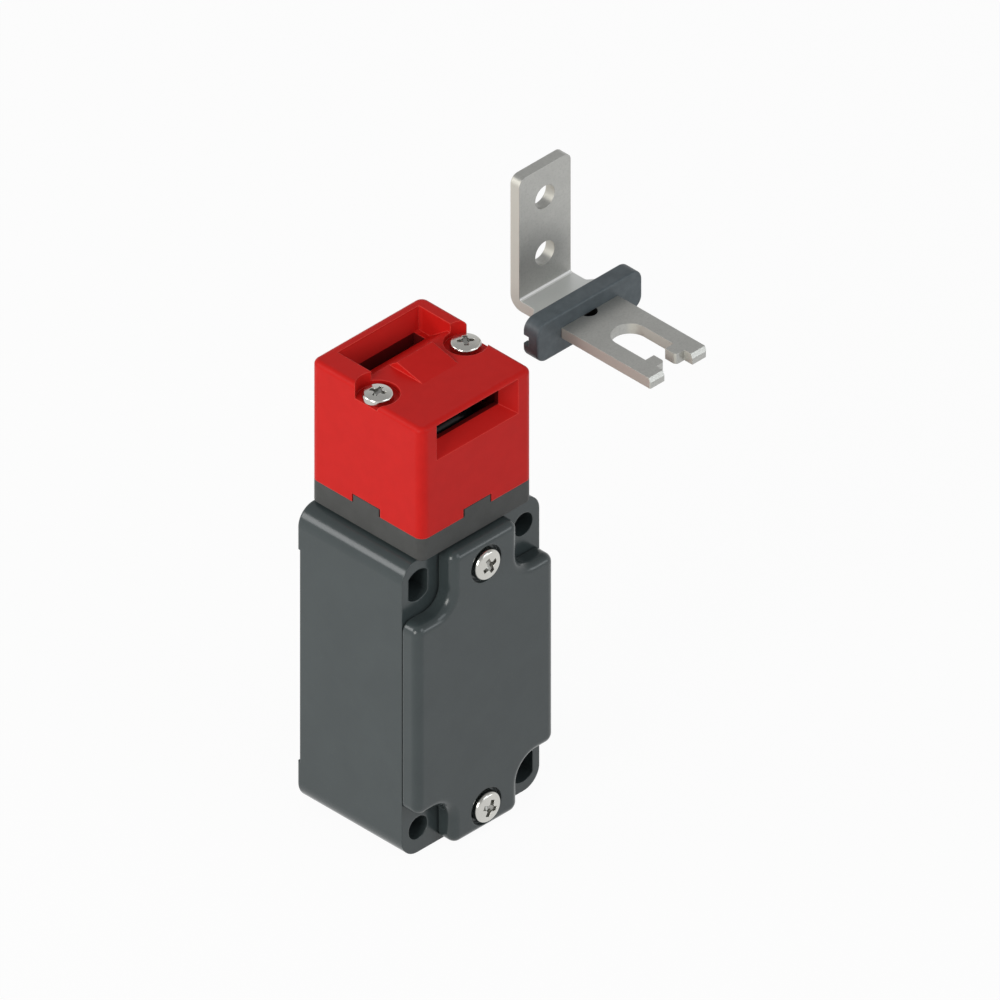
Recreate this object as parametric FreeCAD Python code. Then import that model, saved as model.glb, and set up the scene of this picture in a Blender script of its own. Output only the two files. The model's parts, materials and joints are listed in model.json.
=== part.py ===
import FreeCAD, Part
import math
import os
from FreeCAD import Vector

# Tongue interlock switch with its separate bent-plate actuator.
# Millimetres. The origin is the centre of the conduit entry on the bottom face,
# +Z runs up through the head, -Y is the side with the cover, +X the side where
# the actuator stands apart.

# Sizes read from the photograph

body_width = 39.3
body_corner_radius = 4.5
body_front_y = -13.95
body_back_y = 15.15
pad_rise = 0.85
pad_height = 9.9
pad_edge_radius = 0.6

fixing_from_side = 4.65
fixing_from_top = 6.3
fixing_low_z = 6.0
fixing_hole_radius = 2.7
flatted_hole_radius = 3.7
flatted_hole_half_width = 2.75

cover_thickness = 4.2
cover_bottom_z = 0.5
cover_edge_radius = 1.9
cover_corner_radius = 2.2
cover_neck_half_width = 9.4
cover_wing_low_z = 12.4
cover_wing_from_top = 13.3
cover_low_notch_radius = 5.4
cover_high_notch_radius = 4.5
cover_pocket_depth = 1.5
cover_pocket_margin = 2.2

collar_height = 5.6
head_corner_radius = 2.0
head_top_edge_radius = 1.2
head_front_drop = 2.2
tab_width = 7.3
tab_height = 1.85
tab_thickness = 1.2
tab_fit = 0.15
tab_side_fit = 0.4

top_feature_shift_x = 1.2
top_pocket_margin = 1.35
top_pocket_depth = 5.9
top_pocket_slope = 7.4 / 5.6
ramp_half_width = 5.1
ramp_foot_y = -4.15
ramp_rise = 1.7

front_slot_drop = 7.65
slot_play = 0.4
front_slot_side_play = 1.1
top_slot_side_play = 2.15
front_mouth_flare = 2.55
front_mouth_below = 2.1
front_mouth_above = 3.2
front_mouth_depth = 3.2

head_screw_edge = 3.4
screw_pocket_radius = 4.6
screw_pocket_depth = 3.4

plate_thickness = 2.5
tongue_half_width = 8.05
tongue_length = 25.3
tongue_tip_length = 0.5
tongue_tip_drop = 1.1
leg_half_width = 7.35
leg_height = 29.6
leg_corner_radius = 1.9
leg_hole_radius = 2.75
leg_hole_pitch = 13.8
leg_hole_top_gap = 7.6
bend_inner_radius = 0.5
bend_back_from_cap = 12.84
gusset_start_from_cap = 8.5
shoulder_half_width = 13.5
shoulder_from_cap = 0.9
shoulder_length = 3.0
notch_half_width = 4.0
notch_start = 7.5
barb_width = 2.4
barb_start = 19.9
barb_length = 3.1
barb_nose_radius = 0.9
tongue_hole_radius = 1.9
tongue_hole_back = 0.4

cap_half_length = 15.0
cap_height = 9.5
cap_depth = 4.2
cap_end_radius = 2.8
cap_edge_radius = 0.5
cap_notch_height = 2.3
cap_notch_depth = 1.9
cap_notch_length = 1.7

actuator_apart = 11.15
cap_front_y = -5.95

# Sizes worked out for the parts the photograph doesn't show

gasket_thickness = 0.3
gasket_inset = 0.7
head_gasket_inset = 1.2
side_wall = 3.85
back_wall = 3.0
roof_wall = 3.5
neck_depth = 14.8
cavity_corner_radius = 2.5
neck_cavity_half_width = 8.5
cover_boss_radius = 4.2
cover_boss_depth = 5.95
fixing_boss_wall = 1.2
conduit_bore_radius = 9.2
conduit_length = 14.0

screw_fit = 0.03
slide_fit = 0.05
seat_gap = 0.1
free_gap = 0.3

cover_screw_radius = 2.0
cover_head_radius = 3.5
cover_head_height = 2.4
cover_counterbore_radius = 4.3
cover_screw_engagement = 3.9
cover_head_proud = 1.25

head_screw_radius = 1.75
head_screw_head_radius = 3.25
head_screw_head_height = 1.8
head_screw_engagement = 5.2
head_screw_hole_radius = 1.9

cavity_flare = 0.9
cavity_shoulder_drop = 2.2
head_roof_thickness = 2.0
head_roof_step = 2.35

cam_radius = 10.2
cam_half_width = 7.0
cam_rise_degrees = 70.0
cam_notch_wall_degrees = 28.0
cam_tooth_width = 5.2
cam_tooth_depth = 3.0
cam_rib_play = 0.4
cam_trough_half_y = 4.4
cam_to_tongue_gap = 0.55
cam_side_room = 1.45
axle_radius = 2.0
axle_seat_length = 1.4
spacer_length = 2.2
spacer_radius = 3.6

plunger_radius = 2.5
plunger_tip_gap = 0.25
plunger_end_gap = 0.2
plunger_flange_radius = 4.3
plunger_flange_thickness = 1.3
plunger_stroke = 3.5

guide_radius = 5.0
guide_flange_radius = 6.5
guide_flange_thickness = 1.4
guide_sink = 0.85
guide_end = 0.2
nut_across_flats = 13.0
nut_thickness = 2.2
seal_outer_radius = 4.0
seal_thickness = 1.6
seal_lip = 0.5
seal_cone_share = 0.6

return_spring_radius = 3.75
return_spring_wire = 0.4
return_spring_turns = 5.0

block_side_gap = 1.3
block_floor_gap = 4.5
block_top_gap = 0.5
block_front_room = 5.95
block_floor = 3.5
block_top_wall = 3.0
block_side_wall = 1.7
channel_play = 0.25
channel_end_room = 1.0
block_screw_from_side = 3.5
block_screw_drop = 0.8
block_screw_radius = 1.5
block_screw_engagement = 2.3
small_head_radius = 2.75
small_head_height = 1.9

carriage_half_x = 3.5
carriage_half_y = 4.0
carriage_edge = 0.6
carriage_top_length = 7.3
carriage_foot_length = 6.1
bridge_pitch = 13.0
bridge_half_length = 10.0
bridge_half_width = 2.4
bridge_thickness = 0.8
bridge_end_radius = 1.2
bridge_spring_room = 4.4
contact_x = 8.0
contact_radius = 1.5
contact_height = 0.6
window_play = 0.6
strip_room = 1.5
contact_spring_radius = 1.7
contact_spring_wire = 0.25
contact_spring_turns = 4.0

strip_inner_x = 5.8
strip_from_side = 2.3
strip_thickness = 0.8
strip_back_y = 2.4
strip_tab_length = 8.0
terminal_screw_from_strip = 4.6
terminal_screw_radius = 1.5
terminal_screw_length = 5.0
terminal_head_radius = 2.45
clamp_size = 6.2
clamp_thickness = 1.0
clamp_lip = 0.6

earth_turn_degrees = 38.7
earth_boss_height = 0.6
earth_boss_edge = 0.35
earth_screw_depth = 3.6
earth_washer_radius = 3.2
earth_washer_thickness = 0.6

# The body is as tall as the conduit thread, the contact block and the neck need

half_width = body_width / 2.0
pad_back_y = body_back_y + pad_rise
cavity_back_y = body_back_y - back_wall
cavity_half_width = half_width - side_wall
cavity_low_z = conduit_length
block_low_z = cavity_low_z + block_floor_gap
block_channel_low_z = block_low_z + block_floor
carriage_low_z = block_channel_low_z + channel_end_room + plunger_stroke
open_bridge_z = carriage_low_z + carriage_foot_length
closed_bridge_z = open_bridge_z + bridge_pitch
carriage_high_z = closed_bridge_z + carriage_top_length
block_channel_high_z = carriage_high_z + channel_end_room + seat_gap
block_high_z = block_channel_high_z + block_top_wall
cavity_high_z = block_high_z + block_top_gap
body_height = cavity_high_z + neck_depth
roof_z = body_height - roof_wall

# The cover and the fixing holes

fixing_half_span_x = half_width - fixing_from_side
fixing_high_z = body_height - fixing_from_top
cover_wing_high_z = body_height - cover_wing_from_top
cover_pocket_half_width = cavity_half_width - cover_pocket_margin
cover_back_y = body_front_y - gasket_thickness
cover_front_y = cover_back_y - cover_thickness
cover_boss_back_y = body_front_y + cover_boss_depth
seat_y = cover_front_y + cover_head_height - cover_head_proud

# The contact block across and to the front

block_half_width = cavity_half_width - block_side_gap
block_front_y = body_front_y + block_front_room
block_channel_half_x = carriage_half_x + channel_play
block_channel_half_y = carriage_half_y + channel_play
block_screw_x = block_half_width - block_screw_from_side
block_screw_z = (closed_bridge_z + open_bridge_z) / 2.0 - block_screw_drop
window_half_x = block_half_width - block_side_wall
strip_outer_x = block_half_width - strip_from_side

# The collar, the guide and the wheel above it

collar_low_z = body_height + gasket_thickness
head_base_z = collar_low_z + collar_height
guide_top_z = head_base_z - guide_sink
guide_low_z = roof_z - nut_thickness - guide_end
plunger_flange_low_z = guide_low_z - plunger_end_gap - plunger_flange_thickness
plunger_foot_z = carriage_high_z + plunger_end_gap
cam_low_radius = cam_radius - plunger_stroke
cam_axis_z = guide_top_z + free_gap + cam_radius

# The head round the wheel: the tongue passes over it or behind it

head_cavity_low_half_width = cam_half_width + spacer_length + seat_gap
head_cavity_high_half_width = head_cavity_low_half_width + cavity_flare
axle_half_length = head_cavity_low_half_width + axle_seat_length
head_screw_x = axle_half_length + seat_gap + head_screw_radius
head_half_width = head_screw_x + head_screw_edge
plate_pass = cam_radius + cam_to_tongue_gap + plate_thickness / 2.0
slot_half_height = plate_thickness / 2.0 + slot_play
front_slot_z = cam_axis_z + plate_pass
front_slot_low_z = front_slot_z - slot_half_height
front_slot_high_z = front_slot_z + slot_half_height
top_pocket_front_y = plate_pass - slot_half_height
top_pocket_back_y = plate_pass + slot_half_height
head_rim_z = front_slot_z + front_slot_drop
head_front_top_z = head_rim_z - head_front_drop
top_pocket_floor_z = head_rim_z - top_pocket_depth
screw_pocket_floor_z = head_rim_z - screw_pocket_depth
front_slot_half_width = tongue_half_width + front_slot_side_play
front_mouth_half_width = front_slot_half_width + front_mouth_flare
front_mouth_low_z = front_slot_low_z - front_mouth_below
front_mouth_high_z = front_slot_high_z + front_mouth_above
top_slot_half_width = tongue_half_width + top_slot_side_play
top_pocket_half_width = top_slot_half_width + top_pocket_margin
front_wall_inner_y = -cam_radius - cam_side_room
head_cavity_back_y = top_pocket_back_y
head_cavity_shoulder_z = front_slot_low_z - cavity_shoulder_drop
head_roof_front_z = front_slot_high_z
head_roof_back_z = top_pocket_floor_z - head_roof_thickness
head_roof_step_y = top_pocket_front_y - head_roof_step

# The actuator, level with the front slot, and the earth screw's boss

actuator_x = head_half_width + actuator_apart + cap_half_length
plate_top_z = front_slot_z + plate_thickness / 2.0
earth_distance = conduit_bore_radius + earth_washer_radius + free_gap + seat_gap
earth_x = -earth_distance * math.cos(math.radians(earth_turn_degrees))
earth_y = -earth_distance * math.sin(math.radians(earth_turn_degrees))
earth_seat_z = cavity_low_z + earth_boss_height


def box(x0, x1, y0, y1, z0, z1):
    return Part.makeBox(x1 - x0, y1 - y0, z1 - z0, Vector(x0, y0, z0))


def rod_x(radius, x0, x1, y, z):
    return Part.makeCylinder(radius, x1 - x0, Vector(x0, y, z), Vector(1, 0, 0))


def rod_y(radius, y0, y1, x, z):
    return Part.makeCylinder(radius, y1 - y0, Vector(x, y0, z), Vector(0, 1, 0))


def rod_z(radius, z0, z1, x=0.0, y=0.0):
    return Part.makeCylinder(radius, z1 - z0, Vector(x, y, z0), Vector(0, 0, 1))


def along_y(y):
    return lambda u, v: Vector(u, y, v)


def along_z(z):
    return lambda u, v: Vector(u, v, z)


def along_x(x):
    return lambda u, v: Vector(x, u, v)


def outline(corners, place):
    # A closed wire through the corners, each given as (u, v, corner radius).
    count = len(corners)
    bends = []
    for i in range(count):
        u, v, radius = corners[i]
        here = Vector(u, v, 0)
        back = Vector(corners[i - 1][0], corners[i - 1][1], 0)
        ahead = Vector(corners[(i + 1) % count][0], corners[(i + 1) % count][1], 0)
        to_back = (back - here).normalize()
        to_ahead = (ahead - here).normalize()
        if radius <= 0:
            bends.append((here, None, here))
            continue
        half = math.acos(to_back.dot(to_ahead)) / 2.0
        middle_way = (to_back + to_ahead).normalize()
        run = radius / math.tan(half)
        centre = here + middle_way * (radius / math.sin(half))
        bends.append((here + to_back * run, centre - middle_way * radius,
                      here + to_ahead * run))
    edges = []
    for i in range(count):
        start, middle, stop = bends[i]
        before = bends[i - 1][2]
        if before.distanceToPoint(start) > 1e-6:
            edges.append(Part.makeLine(place(before.x, before.y),
                                       place(start.x, start.y)))
        if middle is not None:
            edges.append(Part.Arc(place(start.x, start.y), place(middle.x, middle.y),
                                  place(stop.x, stop.y)).toShape())
    return Part.Wire(edges)


def prism(corners, place, direction):
    return Part.Face(outline(corners, place)).extrude(direction)


def rounded_square(half, radius, z0, z1):
    corners = [(-half, -half, radius), (half, -half, radius),
               (half, half, radius), (-half, half, radius)]
    return prism(corners, along_z(z0), Vector(0, 0, z1 - z0))


def rounded_panel(x0, x1, z0, z1, radius, y0, y1):
    corners = [(x0, z0, radius), (x1, z0, radius), (x1, z1, radius), (x0, z1, radius)]
    return prism(corners, along_y(y0), Vector(0, y1 - y0, 0))


def edges_at_z(shape, z):
    return [e for e in shape.Edges
            if abs(e.BoundBox.ZMin - z) < 1e-4 and abs(e.BoundBox.ZMax - z) < 1e-4]


def edges_at_y(shape, y):
    return [e for e in shape.Edges
            if abs(e.BoundBox.YMin - y) < 1e-4 and abs(e.BoundBox.YMax - y) < 1e-4]


def fuse(shapes):
    whole = shapes[0]
    for other in shapes[1:]:
        whole = whole.fuse(other)
    return whole.removeSplitter()


def flatted_hole(x, z):
    drum = rod_y(flatted_hole_radius, body_front_y - 1, pad_back_y + 1, x, z)
    slab = box(x - flatted_hole_half_width, x + flatted_hole_half_width,
               body_front_y - 1, pad_back_y + 1,
               z - flatted_hole_radius - 1, z + flatted_hole_radius + 1)
    return drum.common(slab)


def pan_screw(head_radius, head_height, shank_radius, shank_length):
    # Head up along +Z, seat at z = 0, shank below.
    rim = head_height * 0.45
    dome = head_height - rim
    flat = head_radius * 0.55
    corners = [Vector(0, 0, -shank_length), Vector(shank_radius * 0.7, 0, -shank_length),
               Vector(shank_radius, 0, -shank_length + shank_radius * 0.35),
               Vector(shank_radius, 0, 0), Vector(head_radius, 0, 0),
               Vector(head_radius, 0, rim)]
    edges = [Part.makeLine(corners[i], corners[i + 1]) for i in range(len(corners) - 1)]
    sag = Vector((head_radius + flat) / 2.0 + head_radius * 0.08, 0, rim + dome * 0.72)
    edges.append(Part.Arc(corners[-1], sag, Vector(flat, 0, head_height)).toShape())
    edges.append(Part.makeLine(Vector(flat, 0, head_height), Vector(0, 0, head_height)))
    edges.append(Part.makeLine(Vector(0, 0, head_height), corners[0]))
    face = Part.Face(Part.Wire(edges))
    screw = face.revolve(Vector(0, 0, 0), Vector(0, 0, 1), 360)
    wing = head_radius * 0.16
    reach = head_radius * 0.56
    depth = head_height * 0.6
    cross = fuse([box(-reach, reach, -wing, wing, head_height - depth, head_height + 1),
                  box(-wing, wing, -reach, reach, head_height - depth, head_height + 1)])
    return screw.cut(cross)


def facing_front(shape, x, y, z):
    turned = shape.copy()
    turned.rotate(Vector(0, 0, 0), Vector(1, 0, 0), 90)
    turned.translate(Vector(x, y, z))
    return turned


def coil(mean_radius, wire_radius, low_z, high_z, turns, x=0.0, y=0.0):
    # A round wire swept along a helix, its ends level with the two seats.
    run = high_z - low_z - 2 * wire_radius
    helix = Part.makeLongHelix(run / turns, run, mean_radius)
    section = Part.Wire([Part.makeCircle(wire_radius, Vector(mean_radius, 0, 0),
                                         Vector(0, 1, run / turns / (2 * math.pi
                                                                     * mean_radius)))])
    spring = Part.Wire(helix.Edges).makePipeShell([section], True, True)
    spring.translate(Vector(x, y, low_z + wire_radius))
    return spring


def make_housing():
    half = half_width
    shell = rounded_panel(-half, half, 0, body_height, body_corner_radius,
                          body_front_y, body_back_y)
    rear = rounded_panel(-half, half, 0, body_height, body_corner_radius,
                         body_back_y - 1.0, pad_back_y)
    rear = rear.makeFillet(pad_edge_radius, edges_at_y(rear, pad_back_y))
    middle = box(-half - 1, half + 1, body_back_y, pad_back_y + 1,
                 pad_height, body_height - pad_height)
    shape = fuse([shell, rear.cut(middle)])
    main = rounded_panel(-cavity_half_width, cavity_half_width, cavity_low_z, cavity_high_z,
                         cavity_corner_radius, body_front_y - 1, cavity_back_y)
    neck = box(-neck_cavity_half_width, neck_cavity_half_width, body_front_y - 1,
               cavity_back_y, cavity_high_z - 1, roof_z)
    boss = fuse([rod_y(cover_boss_radius, body_front_y - 1, cover_boss_back_y,
                       0, fixing_high_z),
                 box(-cover_boss_radius, cover_boss_radius, body_front_y - 1,
                     cover_boss_back_y, fixing_high_z, roof_z + 1)])
    for x in (-fixing_half_span_x, fixing_half_span_x):
        boss = boss.fuse(rod_y(flatted_hole_radius + fixing_boss_wall, body_front_y - 2,
                               cavity_back_y + 1, x, fixing_low_z))
    boss = boss.fuse(rod_z(earth_washer_radius + earth_boss_edge, cavity_low_z - 1,
                           earth_seat_z, earth_x, earth_y))
    shape = shape.cut(fuse([main, neck]).cut(boss))
    shape = shape.cut(rod_z(conduit_bore_radius, -1, cavity_low_z + 1))
    for x, z in ((-fixing_half_span_x, fixing_low_z), (fixing_half_span_x, fixing_high_z)):
        shape = shape.cut(rod_y(fixing_hole_radius, body_front_y - 1, pad_back_y + 1, x, z))
    for x, z in ((fixing_half_span_x, fixing_low_z), (-fixing_half_span_x, fixing_high_z)):
        shape = shape.cut(flatted_hole(x, z))
    for z in (fixing_low_z, fixing_high_z):
        shape = shape.cut(rod_y(cover_screw_radius + screw_fit, body_front_y - 1,
                                body_front_y + cover_screw_engagement + free_gap, 0, z))
    for side in (-1, 1):
        shape = shape.cut(rod_y(block_screw_radius + screw_fit, cavity_back_y - 1,
                                cavity_back_y + block_screw_engagement,
                                side * block_screw_x, block_screw_z))
    shape = shape.cut(rod_z(terminal_screw_radius + screw_fit,
                            earth_seat_z - earth_screw_depth, earth_seat_z + 1,
                            earth_x, earth_y))
    return shape.cut(rod_z(guide_radius + slide_fit, roof_z - 1, body_height + 1))


def cover_corners(inset):
    # The cover's outline: two wings, and a neck above and below between the
    # four corner notches that leave the fixing holes free.
    half = half_width - inset
    neck = cover_neck_half_width - inset
    top = body_height - inset
    bottom = cover_bottom_z + inset
    low = cover_wing_low_z + inset
    high = cover_wing_high_z - inset
    turn = cover_corner_radius
    deep = cover_low_notch_radius
    wide = cover_high_notch_radius
    return [(-neck, bottom, turn), (neck, bottom, turn), (neck, low, deep),
            (half, low, turn), (half, high, turn), (neck, high, wide),
            (neck, top, turn), (-neck, top, turn), (-neck, high, wide),
            (-half, high, turn), (-half, low, turn), (-neck, low, deep)]


def make_cover():
    plate = prism(cover_corners(0), along_y(cover_front_y), Vector(0, cover_thickness, 0))
    plate = plate.makeFillet(cover_edge_radius, edges_at_y(plate, cover_front_y))
    hollow = rounded_panel(-cover_pocket_half_width, cover_pocket_half_width,
                           cavity_low_z + 1, cavity_high_z - 1, cavity_corner_radius,
                           cover_back_y - cover_pocket_depth, cover_back_y + 1)
    plate = plate.cut(hollow)
    for z in (fixing_low_z, fixing_high_z):
        plate = plate.cut(rod_y(cover_counterbore_radius, cover_front_y - 1, seat_y, 0, z))
        plate = plate.cut(rod_y(cover_screw_radius + free_gap / 2, seat_y - 1,
                                cover_back_y + 1, 0, z))
    return plate


def make_cover_gasket():
    sheet = prism(cover_corners(gasket_inset), along_y(cover_back_y),
                  Vector(0, gasket_thickness, 0))
    window = rounded_panel(-cavity_half_width + 0.8, cavity_half_width - 0.8,
                           cavity_low_z + 1.2, cavity_high_z - 0.8, cavity_corner_radius,
                           cover_back_y - 1, body_front_y + 1)
    sheet = sheet.cut(window)
    for z in (fixing_low_z, fixing_high_z):
        sheet = sheet.cut(rod_y(cover_screw_radius + free_gap / 2, cover_back_y - 1,
                                body_front_y + 1, 0, z))
    return sheet


def make_cover_screw(z):
    length = body_front_y + cover_screw_engagement - seat_y
    screw = pan_screw(cover_head_radius, cover_head_height, cover_screw_radius, length)
    return facing_front(screw, 0, seat_y, z)


def tab_block(side, half, outside, depth, low_z, high_z):
    # One castellation at the middle of a side, or the space for it, which runs
    # on past the wall: side 0..3 counts quarter turns.
    block = box(-half, half, -head_half_width - outside, -head_half_width + depth,
                low_z, high_z)
    block.rotate(Vector(0, 0, 0), Vector(0, 0, 1), 90 * side)
    return block


def make_collar():
    shape = rounded_square(head_half_width, head_corner_radius, collar_low_z, head_base_z)
    shape = shape.makeChamfer(0.4, edges_at_z(shape, collar_low_z))
    tabs = [tab_block(side, tab_width / 2.0, 0.0, tab_thickness, head_base_z - 0.5,
                      head_base_z + tab_height)
            for side in range(4)]
    near = head_cavity_low_half_width + slide_fit
    far = axle_half_length + slide_fit
    posts = [box(min(side * near, side * far), max(side * near, side * far),
                 -axle_radius + slide_fit, axle_radius - slide_fit, head_base_z - 0.5,
                 cam_axis_z - axle_radius - slide_fit)
             for side in (-1, 1)]
    shape = fuse([shape] + tabs + posts)
    shape = shape.cut(rod_z(guide_radius + slide_fit, collar_low_z - 1, head_base_z + 1))
    shape = shape.cut(rod_z(guide_flange_radius + slide_fit,
                            guide_top_z - guide_flange_thickness, head_base_z + 1))
    trough = cam_half_width + 2 * free_gap
    shape = shape.cut(box(-trough, trough, -cam_trough_half_y, cam_trough_half_y,
                          guide_top_z, head_base_z + 1))
    depth = head_base_z - head_screw_engagement
    for side in range(4):
        angle = math.pi / 2 * side
        x = head_screw_x * math.cos(angle)
        y = head_screw_x * math.sin(angle)
        shape = shape.cut(rod_z(head_screw_radius + screw_fit, depth, head_base_z + 3, x, y))
    return shape


def make_head_gasket():
    sheet = rounded_square(head_half_width - head_gasket_inset, head_corner_radius,
                           body_height,
                           collar_low_z)
    return sheet.cut(rod_z(guide_radius + slide_fit, body_height - 1, collar_low_z + 1))


def make_head():
    shift = top_feature_shift_x
    half = head_half_width
    rear = rounded_square(half, head_corner_radius, head_base_z, head_rim_z)
    rear = rear.makeFillet(head_top_edge_radius, edges_at_z(rear, head_rim_z))
    front = rounded_square(half, head_corner_radius, head_base_z, head_front_top_z)
    front = front.makeFillet(head_top_edge_radius, edges_at_z(front, head_front_top_z))
    rear = rear.common(box(-half - 1, half + 1, 0, half + 1, 0, head_rim_z + 1))
    front = front.common(box(-half - 1, half + 1, -half - 1, 0, 0, head_rim_z + 1))
    shape = fuse([rear, front])

    # The pocket behind, with a sloping front wall, and the lower top before it.
    above = head_rim_z + 3
    left = shift - top_pocket_half_width
    span = Vector(2 * top_pocket_half_width, 0, 0)
    reach = top_pocket_front_y - (above - top_pocket_floor_z) * top_pocket_slope
    ramp_top_z = head_front_top_z + ramp_rise
    crest_y = top_pocket_front_y - (ramp_top_z - top_pocket_floor_z) * top_pocket_slope
    meet_y = top_pocket_front_y - (head_front_top_z - top_pocket_floor_z) * top_pocket_slope
    pocket = prism([(top_pocket_front_y, top_pocket_floor_z, 0),
                    (top_pocket_back_y, top_pocket_floor_z, 0),
                    (top_pocket_back_y, above, 0), (reach, above, 0)], along_x(left), span)
    low_top = box(left, left + 2 * top_pocket_half_width, -1, meet_y,
                  head_front_top_z, above)
    shape = shape.cut(fuse([pocket, low_top]))
    ramp = prism([(ramp_foot_y, head_front_top_z - 0.5, 0), (meet_y, head_front_top_z - 0.5, 0),
                  (meet_y, head_front_top_z, 0), (crest_y, ramp_top_z, 0),
                  (ramp_foot_y, head_front_top_z, 0)],
                 along_x(shift - ramp_half_width), Vector(2 * ramp_half_width, 0, 0))
    shape = shape.fuse(ramp).removeSplitter()
    for side in (-1, 1):
        shape = shape.cut(rod_z(screw_pocket_radius, screw_pocket_floor_z, above,
                                side * head_screw_x, 0))
        shape = shape.cut(rod_z(head_screw_hole_radius, head_base_z - 1, above,
                                side * head_screw_x, 0))

    # The cavity of the cam wheel, open below, and the two tongue slots.
    low = box(-head_cavity_low_half_width, head_cavity_low_half_width, front_wall_inner_y,
              head_cavity_back_y, head_base_z - 1, head_cavity_shoulder_z)
    high = box(-head_cavity_high_half_width, head_cavity_high_half_width,
               front_wall_inner_y, head_cavity_back_y, head_cavity_shoulder_z,
               head_roof_back_z)
    front_high = box(-head_cavity_high_half_width, head_cavity_high_half_width,
                     front_wall_inner_y, head_roof_step_y, head_roof_back_z - 1,
                     head_roof_front_z)
    shape = shape.cut(fuse([low, high, front_high]))
    shape = shape.cut(box(shift - top_slot_half_width, shift + top_slot_half_width,
                          top_pocket_front_y, top_pocket_back_y,
                          head_roof_back_z - 1, top_pocket_floor_z + 1))
    shape = shape.cut(box(-front_slot_half_width, front_slot_half_width, -half,
                          front_wall_inner_y + 1, front_slot_low_z, front_slot_high_z))
    slot_y = -half + front_mouth_depth
    grow = 1.0 / front_mouth_depth
    wide = front_mouth_half_width + grow * (front_mouth_half_width - front_slot_half_width)
    low_z = front_mouth_low_z - grow * (front_slot_low_z - front_mouth_low_z)
    high_z = front_mouth_high_z + grow * (front_mouth_high_z - front_slot_high_z)
    outer = outline([(-wide, low_z, 0), (wide, low_z, 0), (wide, high_z, 0),
                     (-wide, high_z, 0)], along_y(-half - 1.0))
    inner = outline([(-front_slot_half_width, front_slot_low_z, 0),
                     (front_slot_half_width, front_slot_low_z, 0),
                     (front_slot_half_width, front_slot_high_z, 0),
                     (-front_slot_half_width, front_slot_high_z, 0)], along_y(slot_y))
    shape = shape.cut(Part.makeLoft([outer, inner], True, True))

    # Notches for the collar's castellations and the two slots of the axle.
    for side in range(4):
        shape = shape.cut(tab_block(side, tab_width / 2.0 + tab_side_fit, 1.0,
                                    tab_thickness + tab_fit, head_base_z - 1,
                                    head_base_z + tab_height + tab_fit))
    bearing = axle_radius + screw_fit
    for side in (-1, 1):
        a = side * (head_cavity_low_half_width - 1)
        b = side * (axle_half_length + seat_gap)
        slot = fuse([box(min(a, b), max(a, b), -bearing, bearing, head_base_z - 1, cam_axis_z),
                     rod_x(bearing, min(a, b), max(a, b), 0, cam_axis_z)])
        shape = shape.cut(slot)
    return shape


def make_head_screw(side):
    length = screw_pocket_floor_z - head_base_z + head_screw_engagement - free_gap
    screw = pan_screw(head_screw_head_radius, head_screw_head_height,
                      head_screw_radius, length)
    screw.rotate(Vector(0, 0, 0), Vector(0, 0, 1), 20)
    screw.translate(Vector(side * head_screw_x, 0, screw_pocket_floor_z))
    return screw


def cam_radius_at(degrees):
    # The cam's radius at an angle counted from straight down towards the back:
    # it grows evenly over the rise and stays full beyond it.
    share = min(max(degrees, 0.0), cam_rise_degrees) / cam_rise_degrees
    return cam_low_radius + (cam_radius - cam_low_radius) * share


def make_cam():
    def spot(radius, degrees):
        a = math.radians(degrees)
        return Vector(-cam_half_width, radius * math.sin(a),
                      cam_axis_z - radius * math.cos(a))

    wall = -cam_notch_wall_degrees
    steps = 14
    rise = [spot(cam_radius_at(cam_rise_degrees * i / steps), cam_rise_degrees * i / steps)
            for i in range(steps + 1)]
    curve = Part.BSplineCurve()
    curve.interpolate(rise)
    far = (cam_rise_degrees + 360 + wall) / 2.0
    edges = [Part.Arc(spot(cam_low_radius, wall), spot(cam_low_radius, wall / 2.0),
                      spot(cam_low_radius, 0)).toShape(),
             curve.toShape(),
             Part.Arc(spot(cam_radius, cam_rise_degrees), spot(cam_radius, far),
                      spot(cam_radius, 360 + wall)).toShape(),
             Part.makeLine(spot(cam_radius, wall), spot(cam_low_radius, wall))]
    wheel = Part.Face(Part.Wire(edges)).extrude(Vector(2 * cam_half_width, 0, 0))
    wheel = wheel.cut(rod_x(axle_radius + slide_fit, -cam_half_width - 1,
                            cam_half_width + 1, 0, cam_axis_z))
    # Tooth spaces on top and behind, where a tongue's barbs catch the wheel.
    for turn in (0, -90):
        space = box(-cam_half_width - 1, cam_half_width + 1, -cam_tooth_width / 2,
                    cam_tooth_width / 2, cam_axis_z + cam_radius - cam_tooth_depth,
                    cam_axis_z + cam_radius + 1)
        rib = notch_half_width - barb_width - cam_rib_play
        keep = box(-rib, rib, -cam_tooth_width,
                   cam_tooth_width, cam_axis_z, cam_axis_z + cam_radius + 2)
        space = space.cut(keep)
        space.rotate(Vector(0, 0, cam_axis_z), Vector(1, 0, 0), turn)
        wheel = wheel.cut(space)
    return wheel


def make_axle():
    return rod_x(axle_radius, -axle_half_length, axle_half_length, 0, cam_axis_z)


def make_spacer(side):
    a = side * (cam_half_width + slide_fit)
    b = side * (head_cavity_low_half_width - slide_fit)
    ring = rod_x(spacer_radius, min(a, b), max(a, b), 0, cam_axis_z)
    return ring.cut(rod_x(axle_radius + screw_fit, min(a, b) - 1, max(a, b) + 1, 0,
                          cam_axis_z))


def make_plunger():
    tip = cam_axis_z - cam_low_radius - plunger_tip_gap
    shoulder = tip - plunger_radius
    stem = rod_z(plunger_radius, plunger_foot_z, shoulder)
    ball = Part.makeSphere(plunger_radius, Vector(0, 0, shoulder))
    flange = rod_z(plunger_flange_radius, plunger_flange_low_z,
                   plunger_flange_low_z + plunger_flange_thickness)
    return fuse([stem, ball, flange])


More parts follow.
